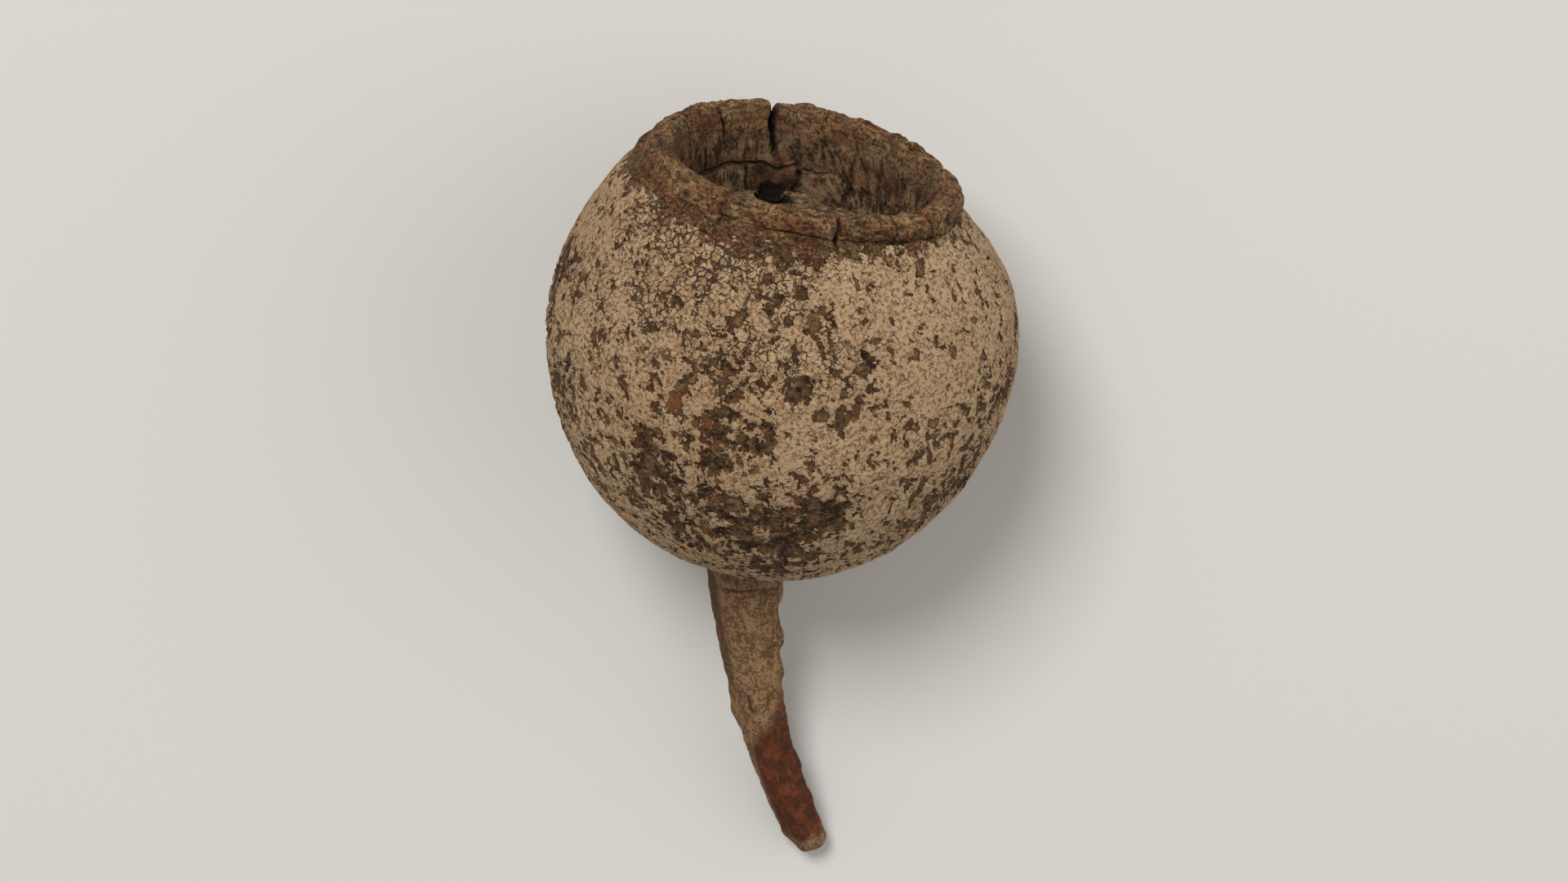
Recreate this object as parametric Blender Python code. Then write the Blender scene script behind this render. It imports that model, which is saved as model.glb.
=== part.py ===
# A gum nut: the woody, urn-shaped seed capsule of a bloodwood tree, with its stalk, picked
# and lying on its side. It grew as one piece of wood, so it is one closed surface.
#
# The surface is a stack of rings. They run from the small pit between the open valves, out
# over the floor of the cup, up the lining, over the lip, down the outside and along the
# stalk to its broken tip. They are worked out in the nut's own upright frame: Z is the axis
# of the capsule, mouth up, X is its right, and -Y is the side that faces up once it lies.

import math

import bpy
import numpy as np
from mathutils import noise

MM = 0.001

# The capsule. Heights are above its widest section.
GLOBE_RADIUS = 19.0 * MM
BASE_DROP = 20.4 * MM
SHOULDER_RISE = 17.9 * MM
COLLAR_FOOT_RADIUS = 13.6 * MM
WAIST_RADIUS = 12.45 * MM
SEAM_CUT = 0.2 * MM
LIP_RADIUS = 11.45 * MM
LIP_THICKNESS = 2.3 * MM
CREST_HEIGHT = 15.65 * MM
MOUTH_LEAN_RIGHT_DEG = 3.4
MOUTH_LEAN_BACK_DEG = 3.5

# The cup. Depths are below the crest of the lip.
LINING_FOOT_RADIUS = 9.5 * MM
RING_CRACK_DEPTH = 4.8 * MM
RING_CRACK_CUT = 0.4 * MM
FLOOR_RADIUS = 8.0 * MM
FLOOR_DEPTH = 7.1 * MM
VALVE_RISE = 0.8 * MM
PIT_RADIUS = 1.2 * MM
PIT_DEPTH = 3.2 * MM
PIT_CENTRE = (-2.1 * MM, 4.8 * MM)

# The stalk leaves the base along the axis and bends to +X.
STALK_ROOT_RADIUS = 3.0 * MM
STALK_TIP_RADIUS = 1.6 * MM
STALK_THINNING = 2.2
STALK_LENGTH = 27.8 * MM
STALK_ROOT_X = -0.35 * MM
STALK_ROOT_HEADING_DEG = 8.0
STALK_TIP_HEADING_DEG = 32.0

# The nut lies with its mouth raised by this much from the table, on a small flat spot.
MOUTH_RAISED_DEG = 21.0
FLAT_DEPTH = 0.45 * MM

# Columns round the mouth. Below it and on the stalk their number is halved.
FINE = 104
CROWDING = 2.5
CROWD_WIDTH_DEG = 2.5

# Each split across the lip: azimuth, how far it runs down the lining and down the collar
# (1 is all of it), half width and depth. 90 degrees is the far side of the mouth.
SPLITS = (
    (107.0, 1.0, 0.5, 0.60 * MM, 1.2 * MM),
    (134.0, 0.9, 0.3, 0.40 * MM, 0.6 * MM),
    (160.0, 0.5, 0.3, 0.40 * MM, 0.4 * MM),
    (69.0, 0.6, 0.3, 0.40 * MM, 0.35 * MM),
    (243.0, 0.3, 0.9, 0.45 * MM, 0.5 * MM),
    (286.0, 0.4, 0.7, 0.40 * MM, 0.4 * MM),
    (309.0, 0.4, 0.6, 0.35 * MM, 0.3 * MM),
    (325.0, 0.5, 0.3, 0.35 * MM, 0.3 * MM),
)

# Azimuths of the cracks between the blocks below the lining, and of the slits round the pit.
BLOCK_EDGES = (15.0, 41.0, 67.0, 93.0, 117.0, 155.0, 182.0, 210.0, 238.0, 265.0, 293.0, 320.0, 348.0)
BLOCK_CRACK_DEPTH = 0.45 * MM
VALVE_SLITS = (20.0, 110.0, 200.0, 290.0)
VALVE_SLIT_DEPTH = 0.5 * MM

# Each knot on the globe: azimuth, height, radius and how far it stands out.
KNOTS = (
    (276.3, 4.5 * MM, 0.9 * MM, 0.35 * MM),
    (293.1, 7.0 * MM, 0.8 * MM, 0.30 * MM),
)
# Each knob on the stalk: place along it (1 is the tip), azimuth, radius and how far it
# stands out.
KNOBS = (
    (0.08, -20.0, 1.2 * MM, 0.45 * MM),
    (0.24, -10.0, 1.3 * MM, 0.50 * MM),
    (0.36, -15.0, 1.1 * MM, 0.35 * MM),
    (0.72, -30.0, 1.2 * MM, 0.40 * MM),
    (0.84, -20.0, 1.0 * MM, 0.35 * MM),
    (0.50, 165.0, 1.3 * MM, 0.30 * MM),
)


def smooth(low, high, x):
    """0 at low, 1 at high and beyond, with an even S between them."""
    t = np.clip((x - low) / (high - low), 0, 1)
    return t * t * (3 - 2 * t)


def turn_from(angle, centre_deg):
    """How far angle (radians) is round from centre_deg, the nearest way, in radians."""
    return np.angle(np.exp(1j * (angle - math.radians(centre_deg))))


def column_azimuths():
    """Azimuths of the finest rings, closer together where a split needs them."""
    turn = np.linspace(0, 2 * math.pi, 2049)
    density = np.ones_like(turn)
    for azimuth, *_ in SPLITS:
        away = turn_from(turn, azimuth) / math.radians(CROWD_WIDTH_DEG)
        density += CROWDING * np.exp(-(away**2))
    passed = np.concatenate([[0], np.cumsum((density[1:] + density[:-1]) / 2)])
    return np.interp(np.arange(FINE) / FINE * passed[-1], passed, turn)


def stretch(name, radii, heights, columns, to_pit=None):
    """Rings of one stretch of the surface. u is a ring's place along it, from 0 to 1."""
    places = np.linspace(0, 1, len(radii))
    to_pit = np.zeros(len(radii)) if to_pit is None else to_pit
    return [
        {"in": name, "u": u, "r": r, "z": z, "to_pit": p, "columns": columns}
        for u, r, z, p in zip(places, radii, heights, to_pit)
    ]


def cup_rings():
    """From the bottom of the pit, over the floor and up the inside of the cup."""
    floor_z = CREST_HEIGHT - FLOOR_DEPTH
    ledge_z = CREST_HEIGHT - RING_CRACK_DEPTH
    pit_z = floor_z + VALVE_RISE
    lip_z = CREST_HEIGHT - LIP_THICKNESS / 2

    radii = PIT_RADIUS * np.array([0.45, 0.85, 1.0])
    heights = pit_z - PIT_DEPTH * np.array([1.0, 0.8, 0.3])
    rings = stretch("pit", radii, heights, FINE // 4, np.ones(3))

    out = np.linspace(0, 1, 7)
    radii = 1.2 * PIT_RADIUS + (FLOOR_RADIUS - 1.2 * PIT_RADIUS) * out
    rings += stretch("floor", radii, pit_z - VALVE_RISE * out**2, FINE // 2, 1 - smooth(0, 1, out))

    up = np.linspace(0.15, 0.94, 4)
    block_top = LINING_FOOT_RADIUS - 0.3 * MM
    radii = FLOOR_RADIUS + (block_top - FLOOR_RADIUS) * up**0.7
    rings += stretch("blocks", radii, floor_z + (ledge_z - floor_z) * up, FINE)
    rings += stretch("crack", [LINING_FOOT_RADIUS + RING_CRACK_CUT], [ledge_z], FINE)

    up = np.linspace(0.08, 0.92, 6)
    radii = LINING_FOOT_RADIUS + (LIP_RADIUS - LIP_THICKNESS / 2 - LINING_FOOT_RADIUS) * up**1.5
    return rings + stretch("lining", radii, ledge_z + (lip_z - ledge_z) * up, FINE)


def outer_rings():
    """Over the lip and down the outside to where the stalk begins."""
    half_lip = LIP_THICKNESS / 2
    over = np.radians(np.linspace(180, -25, 9))
    lip_z = CREST_HEIGHT - half_lip + half_lip * np.sin(over)
    rings = stretch("lip", LIP_RADIUS + half_lip * np.cos(over), lip_z, FINE)

    foot = math.acos(COLLAR_FOOT_RADIUS / GLOBE_RADIUS)
    foot_z = SHOULDER_RISE * math.sin(foot)
    rings += stretch("seam", [WAIST_RADIUS - SEAM_CUT], [lip_z[-1] - 0.12 * MM], FINE)
    down = np.linspace(0.15, 0.85, 4)
    radii = WAIST_RADIUS + (COLLAR_FOOT_RADIUS - WAIST_RADIUS) * down**1.6
    rings += stretch("collar", radii, lip_z[-1] + (foot_z - lip_z[-1]) * down, FINE)

    fall = np.linspace(foot, 0, 9)
    rings += stretch("shoulder", GLOBE_RADIUS * np.cos(fall), SHOULDER_RISE * np.sin(fall), FINE)

    fall = np.radians(np.linspace(-6, -75, 12))
    radii = GLOBE_RADIUS * np.cos(fall)
    heights = BASE_DROP * np.sin(fall)
    rings += stretch("belly", radii, heights, FINE // 2)

    # The flare is a quadratic curve from the last slope of the belly to the stalk's own.
    start = np.array([radii[-1], heights[-1]])
    slope = BASE_DROP * math.cos(fall[-1]) / (GLOBE_RADIUS * -math.sin(fall[-1]))
    corner = np.array([STALK_ROOT_RADIUS, start[1] - slope * (start[0] - STALK_ROOT_RADIUS)])
    end = corner - np.array([0, start[0] - STALK_ROOT_RADIUS])
    t = np.linspace(0.25, 1, 4)[:, None]
    flare = (1 - t) ** 2 * start + 2 * t * (1 - t) * corner + t**2 * end
    return rings + stretch("flare", flare[:, 0], flare[:, 1], FINE // 4)


def ring_normals(rings):
    """The way out of the wood at each ring, as (radial, upward), from its neighbours."""
    outline = np.array([[ring["r"], ring["z"]] for ring in rings])
    along = np.gradient(outline, axis=0)
    along /= np.linalg.norm(along, axis=1)[:, None]
    return np.column_stack([-along[:, 1], along[:, 0]])


def groove(distance, half_width):
    """1 at the bottom of a crack and 0 past its half width."""
    return np.clip(1 - np.abs(distance) / half_width, 0, 1) ** 0.8


def split_depth(ring, angle):
    """How deep the splits cut this ring, at each azimuth."""
    depth = np.zeros_like(angle)
    for azimuth, down_lining, down_collar, half_width, deepest in SPLITS:
        reach = 1.0
        if ring["in"] == "lining":
            reach = smooth(1 - down_lining, 1 - 0.6 * down_lining, ring["u"])
        if ring["in"] == "collar":
            reach = 1 - smooth(0.5 * down_collar, down_collar + 0.2, ring["u"])
        away = ring["r"] * turn_from(angle, azimuth)
        depth = np.maximum(depth, deepest * reach * groove(away, half_width))
    return depth


def relief(ring, angle, points):
    """How far the surface stands out of its plain form at each point of a ring."""
    grain = np.array([noise.fractal(point / (1.6 * MM), 1.0, 2.0, 3) for point in points])
    if ring["in"] in ("lining", "lip", "seam", "collar"):
        fibres = [noise.noise((12 * math.cos(a), 12 * math.sin(a), 2)) for a in angle]
        return 0.07 * MM * grain + 0.09 * MM * np.array(fibres) - split_depth(ring, angle)
    if ring["in"] == "blocks":
        cracks = [groove(ring["r"] * turn_from(angle, edge), 0.7 * MM) for edge in BLOCK_EDGES]
        return 0.12 * MM * grain - BLOCK_CRACK_DEPTH * np.max(cracks, axis=0)
    if ring["in"] == "floor":
        slits = [groove(ring["r"] * turn_from(angle, slit), 0.6 * MM) for slit in VALVE_SLITS]
        rough = 0.25 * MM * grain - VALVE_SLIT_DEPTH * np.max(slits, axis=0)
        return rough * smooth(0, 0.2, ring["u"])
    if ring["in"] in ("shoulder", "belly"):
        stands = 0.10 * MM * grain
        for azimuth, height, radius, out in KNOTS:
            away = np.hypot(ring["r"] * turn_from(angle, azimuth), ring["z"] - height)
            stands += out * np.exp(-((away / radius) ** 2))
        return stands
    return np.zeros_like(angle)


def as_grown(ring, angle):
    """A ring of the capsule, which isn't turned on a lathe: its globe has faint lobes, its
    mouth leans right and back, and the pit is a rounded triangle off the axis."""
    r, z = ring["r"], ring["z"]
    near_mouth = smooth(6 * MM, 13 * MM, z)
    lobes = 0.008 * np.cos(2 * angle - 0.6) + 0.006 * np.cos(3 * angle + z / (6 * MM))
    lobes = 1 + lobes + 0.02 * near_mouth * np.cos(3 * angle + 0.8)
    corners = 1 + 0.18 * ring["to_pit"] * np.cos(3 * (angle + math.pi / 2))
    x = r * lobes * corners * np.cos(angle) * (1 - 0.2 * ring["to_pit"])
    y = r * lobes * corners * np.sin(angle) * (1 + 0.3 * ring["to_pit"])
    x = x + PIT_CENTRE[0] * ring["to_pit"]
    y = y + PIT_CENTRE[1] * ring["to_pit"]
    x = x + STALK_ROOT_X * smooth(-19 * MM, -22 * MM, z)
    lean = x * math.tan(math.radians(MOUTH_LEAN_RIGHT_DEG))
    lean = lean + y * math.tan(math.radians(MOUTH_LEAN_BACK_DEG))
    return np.column_stack([x, y, z - lean * smooth(5 * MM, 12 * MM, z)])


def capsule(azimuths):
    """The rings of the capsule as arrays of points."""
    rings = cup_rings() + outer_rings()
    made = []
    for ring, (radial, upward) in zip(rings, ring_normals(rings)):
        angle = azimuths[:: FINE // ring["columns"]]
        points = as_grown(ring, angle)
        stands = relief(ring, angle, points)
        out = np.column_stack([radial * np.cos(angle), radial * np.sin(angle), np.full_like(angle, upward)])
        made.append(points + stands[:, None] * out)
    return made


def stalk_line(root_z, sink_deg):
    """Places, directions and radii along the stalk, sinking to the table by sink_deg."""
    t = np.linspace(0, 1, 24)
    bend = STALK_TIP_HEADING_DEG - STALK_ROOT_HEADING_DEG
    heading = np.radians(STALK_ROOT_HEADING_DEG + bend * t**1.2) * smooth(-0.1, 0.08, t)
    sink = math.radians(sink_deg) * smooth(0, 0.6, t)
    along = np.column_stack(
        [np.sin(heading) * np.cos(sink), np.sin(sink), -np.cos(heading) * np.cos(sink)]
    )
    steps = (along[1:] + along[:-1]) / 2 * STALK_LENGTH / (len(t) - 1)
    places = np.vstack([np.zeros(3), np.cumsum(steps, axis=0)]) + [STALK_ROOT_X, 0, root_z]
    radii = STALK_TIP_RADIUS + (STALK_ROOT_RADIUS - STALK_TIP_RADIUS) * np.exp(-STALK_THINNING * t)
    return places, along, radii


def stalk(azimuths, root_z, sink_deg):
    """The rings of the stalk, with its knobs, as arrays of points."""
    places, along, radii = stalk_line(root_z, sink_deg)
    right = np.cross(along, [0, 1, 0])
    right /= np.linalg.norm(right, axis=1)[:, None]
    back = np.cross(right, along)
    angle = azimuths[::4]
    made = []
    for k in range(1, len(places)):
        t = k / (len(places) - 1)
        wood = radii[k] * (1 + 0.05 * np.cos(2 * angle + 3 * t) + 0.04 * np.cos(5 * angle + t))
        for place, azimuth, radius, out in KNOBS:
            away = np.hypot(radii[k] * turn_from(angle, azimuth), (t - place) * STALK_LENGTH)
            wood += out * np.exp(-((away / radius) ** 2))
        ring = np.outer(wood * np.cos(angle), right[k]) + np.outer(wood * np.sin(angle), back[k])
        made.append(places[k] + ring)
    # The tip is snapped off at a slant, with its edge worn round.
    end = places[-1] + 0.55 * (made[-1] - places[-1]) + 0.5 * MM * along[-1]
    made.append(end + np.outer(0.3 * np.cos(angle) * STALK_TIP_RADIUS, along[-1]))
    return made


def tipped(points):
    """From the upright frame to the row frame, tipped over backwards."""
    raised = math.radians(MOUTH_RAISED_DEG)
    x, y, z = points.T
    back = math.cos(raised) * z + math.sin(raised) * y
    up = math.sin(raised) * z - math.cos(raised) * y
    return np.column_stack([x, back, up])


def laid_rings():
    """All rings on the table: the globe is pressed into it by the depth of its flat spot,
    and the stalk sinks until its tip touches it too."""
    azimuths = column_azimuths()
    globe = capsule(azimuths)
    root_z = globe[-1][:, 2].mean()
    table = min(tipped(ring)[:, 2].min() for ring in globe) + FLAT_DEPTH
    low, high = -20.0, 30.0
    for _ in range(24):
        sink = (low + high) / 2
        tip = np.vstack(stalk(azimuths, root_z, sink)[-6:])
        if tipped(tip)[:, 2].min() > table:
            low = sink
        else:
            high = sink
    rings = [tipped(ring) - [0, 0, table] for ring in globe + stalk(azimuths, root_z, low)]
    return [np.column_stack([ring[:, :2], np.maximum(ring[:, 2], 0)]) for ring in rings]


def closed_surface(rings):
    """Points and faces from the rings, with a point at each end. A ring has as many columns
    as the one before it, or half or twice as many."""
    faces = []
    first = 0
    for upper, lower in zip(rings, rings[1:]):
        m, n = len(upper), len(lower)
        a, b = first, first + m
        for j in range(min(m, n)):
            i = (j + 1) % min(m, n)
            if m == n:
                faces.append((a + j, b + j, b + i, a + i))
            elif m > n:
                mid, far = a + 2 * j + 1, a + (2 * j + 2) % m
                faces += [(a + 2 * j, b + j, mid), (mid, b + j, b + i), (mid, b + i, far)]
            else:
                mid, far = b + 2 * j + 1, b + (2 * j + 2) % n
                faces += [(a + j, b + 2 * j, mid), (a + j, mid, a + i), (a + i, mid, far)]
        first += m
    points = np.vstack(rings + [rings[0].mean(axis=0), rings[-1].mean(axis=0)])
    n = len(rings[0])
    faces += [(len(points) - 2, j, (j + 1) % n) for j in range(n)]
    n = len(rings[-1])
    faces += [(len(points) - 1, first + (j + 1) % n, first + j) for j in range(n)]
    return points, faces


def dry_wood():
    """Pale, dry, matt wood."""
    material = bpy.data.materials.new("dry_gum_nut_wood")
    material.use_nodes = True
    shader = material.node_tree.nodes["Principled BSDF"]
    shader.inputs["Base Color"].default_value = (0.47, 0.31, 0.17, 1)
    shader.inputs["Roughness"].default_value = 0.75
    shader.inputs["Metallic"].default_value = 0.0
    return material


def main():
    for old in list(bpy.data.objects):
        bpy.data.objects.remove(old)
    points, faces = closed_surface(laid_rings())
    mesh = bpy.data.meshes.new("gum_nut")
    mesh.from_pydata(points.tolist(), [], faces)
    mesh.materials.append(dry_wood())
    nut = bpy.data.objects.new("gum_nut", mesh)
    bpy.context.scene.collection.objects.link(nut)


main()
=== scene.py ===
import itertools
import math

import bpy
import numpy as np
from mathutils import Matrix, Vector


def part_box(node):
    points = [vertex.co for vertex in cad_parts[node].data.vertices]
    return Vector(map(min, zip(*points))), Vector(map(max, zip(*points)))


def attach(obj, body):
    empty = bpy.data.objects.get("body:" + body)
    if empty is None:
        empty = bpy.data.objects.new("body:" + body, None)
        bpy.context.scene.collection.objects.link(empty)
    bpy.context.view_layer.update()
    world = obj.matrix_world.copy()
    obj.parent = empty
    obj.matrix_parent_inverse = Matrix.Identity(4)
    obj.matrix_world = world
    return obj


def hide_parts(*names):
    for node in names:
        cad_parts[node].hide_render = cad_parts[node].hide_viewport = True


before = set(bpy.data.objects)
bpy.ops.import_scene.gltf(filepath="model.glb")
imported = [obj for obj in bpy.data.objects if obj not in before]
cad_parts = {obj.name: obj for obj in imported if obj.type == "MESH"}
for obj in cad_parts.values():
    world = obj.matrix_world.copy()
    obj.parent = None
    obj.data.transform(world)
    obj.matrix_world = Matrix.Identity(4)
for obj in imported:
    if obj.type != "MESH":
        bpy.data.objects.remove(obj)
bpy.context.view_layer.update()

mm = 0.001
print("frame loaded")


# numbers and noise, all on whole arrays

def smooth(low, high, x):
    # 0 at low, 1 at high, 3t^2 - 2t^3 between them
    t = np.clip((x - low) / (high - low), 0, 1)
    return t * t * (3 - 2 * t)


def bump(distance, width):
    # a bell: e to the minus (distance / width) squared
    return np.exp(-((distance / width) ** 2))


def turnFrom(angle, centreDeg):
    # how far an angle is round from a centre, the nearest way, in radians
    return np.angle(np.exp(1j * (angle - math.radians(centreDeg))))


def degreesFrom(angle, centreDeg):
    # the same in degrees, and as large on one side as on the other
    return np.degrees(np.abs(turnFrom(angle, centreDeg)))


def around(angle, radius, height):
    # places round an upright axis: radius times cosine, radius times sine, height
    return np.stack(np.broadcast_arrays(radius * np.cos(angle), radius * np.sin(angle), height), axis=-1)


def hashed(cells, seed):
    # whole-number cells scrambled to one repeatable number from 0 to 1 each, by large odd factors and shifts
    x = np.bitwise_xor.reduce(cells * [73856093, 19349663, 83492791], axis=-1) ^ (seed * 40503 + 977)
    for shift, factor in ((15, 2246822519), (13, 3266489917)):
        x = (x ^ (x >> shift)) * factor & 0xFFFFFFFF
    return (x ^ (x >> 16)) / 2.0**32


def gradientNoise(points, size, seed=0):
    # each corner of the lattice cell has a slope; the eight planes are blended by the quintic fade
    scaled = points / size
    low = np.floor(scaled).astype(np.int64)
    inside = scaled - low
    fade = inside**3 * (inside * (inside * 6 - 15) + 10)
    total = np.zeros(len(points))
    for corner in itertools.product((0, 1), repeat=3):
        cell = low + corner
        slope = np.stack([hashed(cell, seed + k) for k in (1, 2, 3)], axis=1) * 2 - 1
        weight = np.prod(np.where(np.array(corner) == 1, fade, 1 - fade), axis=1)
        total += weight * ((inside - corner) * slope).sum(axis=1)
    return total * 1.5  # now mostly between -0.8 and 0.8


def layeredNoise(points, size, seed=0, layers=3):
    # gradient noise plus the same at half the size and half the height, and so on
    return sum(gradientNoise(points, size / 2**k, seed + 10 * k) / 2**k for k in range(layers))


def cellNoise(points, size, seed=0):
    # one seed point in every cell: the distances to the three nearest, and a number that the nearest one owns
    scaled = points / size
    steps = np.array(list(itertools.product((-1, 0, 1), repeat=3)))
    cells = np.floor(scaled).astype(np.int64)[:, None] + steps
    places = cells + np.stack([hashed(cells, seed + k) for k in (1, 2, 3)], axis=-1)
    away = np.linalg.norm(scaled[:, None] - places, axis=-1)
    order = np.argsort(away, axis=1)[:, :3]
    first, second, third = np.take_along_axis(away, order, axis=1).T * size
    number = np.take_along_axis(hashed(cells, seed + 7), order[:, :1], axis=1)[:, 0]
    return first, second, third, number


# the nut's plain form, in its own upright frame in millimetres, as its solid has it

nut = {
    "columns": 416,
    "globeRadius": 19.0,
    "baseDrop": 20.4,
    "bellyEndDeg": 75.0,
    "shoulderRise": 17.9,
    "collarFootRadius": 13.6,
    "waistRadius": 12.45,
    "seamCut": 0.2,
    "lipRadius": 11.45,
    "lipThickness": 2.3,
    "lipEndDeg": 25.0,
    "crestHeight": 15.65,
    "mouthLeanRightDeg": 3.4,
    "mouthLeanBackDeg": 3.5,
    "liningFootRadius": 9.5,
    "ringCrackDepth": 4.8,
    "ringCrackCut": 0.32,
    "floorRadius": 8.0,
    "floorDepth": 7.1,
    "valveRise": 0.8,
    "pitRadius": 1.05,
    "pitDepth": 3.2,
    "pitCentre": (-2.3, 5.2),
    "pitCorners": 0.28,
    # faint lobes of the section, as shares of its radius
    "twoLobes": 0.008,
    "threeLobes": 0.006,
    "mouthLobes": 0.02,
    "stalkRootRadius": 3.0,
    "stalkTipRadius": 1.6,
    "stalkThinning": 2.2,
    "stalkLength": 27.8,
    "stalkRootX": -0.35,
    "stalkRootHeadingDeg": 8.0,
    "stalkTipHeadingDeg": 32.0,
    "stalkSinkDeg": -1.59,
    "mouthRaisedDeg": 21.0,
    "centreHeight": 18.506,
}


def outlineOf(nut):
    # the half outline as rings, from the pit up over the lip and down to the stalk: each has its stretch, its
    # place u along that from 0 to 1, its radius and height, how far it has slid to the pit, and its columns
    fine = nut["columns"]
    rings = []

    def stretch(name, radii, heights, columns, toPit=0.0):
        # one ring for each radius
        places = np.linspace(0, 1, len(radii))
        pit = np.broadcast_to(toPit, len(radii))
        many = np.broadcast_to(columns, len(radii))
        rings.extend(zip([name] * len(radii), places, radii, heights, pit, many))

    floorZ = nut["crestHeight"] - nut["floorDepth"]
    ledgeZ = nut["crestHeight"] - nut["ringCrackDepth"]
    pitZ = floorZ + nut["valveRise"]
    half = nut["lipThickness"] / 2
    lipZ = nut["crestHeight"] - half
    lipEnd, bellyEnd = math.radians(nut["lipEndDeg"]), math.radians(nut["bellyEndDeg"])

    # inside the cup
    down = np.linspace(1, 0.08, 10)
    stretch("pit", nut["pitRadius"] * (1.06 - 0.6 * down**2), pitZ - nut["pitDepth"] * down, fine // 8, 1.0)
    out = np.linspace(0, 1, 25)
    rim = 1.2 * nut["pitRadius"]
    stretch("floor", rim + (nut["floorRadius"] - rim) * out, pitZ - nut["valveRise"] * out**2,
            np.where(out < 0.3, fine // 4, fine // 2), 1 - out)
    up = np.linspace(0.1, 0.95, 11)
    blocks = nut["liningFootRadius"] - 0.3 - nut["floorRadius"]
    stretch("blocks", nut["floorRadius"] + blocks * up**0.7, floorZ + (ledgeZ - floorZ) * up, fine)
    cut = nut["ringCrackCut"] * np.array([0.3, 1.0, 0.5])
    stretch("crack", nut["liningFootRadius"] - 0.1 + cut, ledgeZ + np.array([-0.08, 0, 0.1]), fine)
    up = np.linspace(0.06, 0.95, 20)
    wall = nut["lipRadius"] - half - nut["liningFootRadius"]
    stretch("lining", nut["liningFootRadius"] + wall * up**1.5, ledgeZ + (lipZ - ledgeZ) * up, fine)

    # over the lip, squared a little on its outer side, to the waist and the collar
    over = np.linspace(math.pi, -lipEnd, 20)
    squared = np.where(np.cos(over) > 0, np.abs(np.cos(over)) ** 0.7, np.cos(over))
    stretch("lip", nut["lipRadius"] + half * squared, lipZ + half * np.sin(over), fine)
    endZ = lipZ - half * math.sin(lipEnd)
    cut = nut["seamCut"] * np.array([0.6, 1.0, 0.6])
    stretch("seam", nut["waistRadius"] - cut, endZ - np.array([0.04, 0.12, 0.2]), fine)
    foot = math.acos(nut["collarFootRadius"] / nut["globeRadius"])
    footZ = nut["shoulderRise"] * math.sin(foot)
    down = np.linspace(0.2, 0.93, 8)
    flaring = (nut["collarFootRadius"] - nut["waistRadius"]) * down**1.6
    stretch("collar", nut["waistRadius"] + flaring, endZ + (footZ - endZ) * down, fine)

    # the globe: two half ellipses, then a curve into the stalk that leaves the lower one along its slope
    fall = np.linspace(foot, 0, 54)
    stretch("shoulder", nut["globeRadius"] * np.cos(fall), nut["shoulderRise"] * np.sin(fall), fine)
    fall = np.linspace(math.radians(-0.8), -bellyEnd, 88)
    stretch("belly", nut["globeRadius"] * np.cos(fall), nut["baseDrop"] * np.sin(fall),
            np.where(fall > math.radians(-50), fine, fine // 2))
    start = np.array([nut["globeRadius"] * math.cos(bellyEnd), -nut["baseDrop"] * math.sin(bellyEnd)])
    slope = nut["baseDrop"] * math.cos(bellyEnd) / (nut["globeRadius"] * math.sin(bellyEnd))
    corner = np.array([nut["stalkRootRadius"], start[1] - slope * (start[0] - nut["stalkRootRadius"])])
    end = corner - np.array([0, start[0] - nut["stalkRootRadius"]])
    t = np.linspace(0.08, 1, 12)[:, None]
    flare = (1 - t) ** 2 * start + 2 * t * (1 - t) * corner + t**2 * end
    stretch("flare", flare[:, 0], flare[:, 1], fine // 4)
    return rings


def crestAt(angle, nut):
    # height of the crest of the lip at each azimuth: it leans down to the right and to the back
    right, back = (math.tan(math.radians(nut[name])) for name in ("mouthLeanRightDeg", "mouthLeanBackDeg"))
    return nut["crestHeight"] - nut["lipRadius"] * (np.cos(angle) * right + np.sin(angle) * back)


def stalkLine(nut, rootZ, count):
    # places and directions along the stalk: its heading swings evenly from the root's to the tip's
    t = np.linspace(0, 1, count)
    bend = nut["stalkTipHeadingDeg"] - nut["stalkRootHeadingDeg"]
    heading = np.radians(nut["stalkRootHeadingDeg"] + bend * t**1.2) * smooth(-0.1, 0.08, t)
    sink = math.radians(nut["stalkSinkDeg"]) * smooth(0, 0.6, t)
    along = np.stack([np.sin(heading) * np.cos(sink), np.sin(sink), -np.cos(heading) * np.cos(sink)], axis=1)
    steps = (along[1:] + along[:-1]) / 2 * nut["stalkLength"] / (count - 1)
    places = np.vstack([np.zeros(3), np.cumsum(steps, axis=0)]) + [nut["stalkRootX"], 0, rootZ]
    return t, places, along


# the relief and the marks of the wood: azimuths in degrees with the front at 270, everything else in mm

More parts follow.
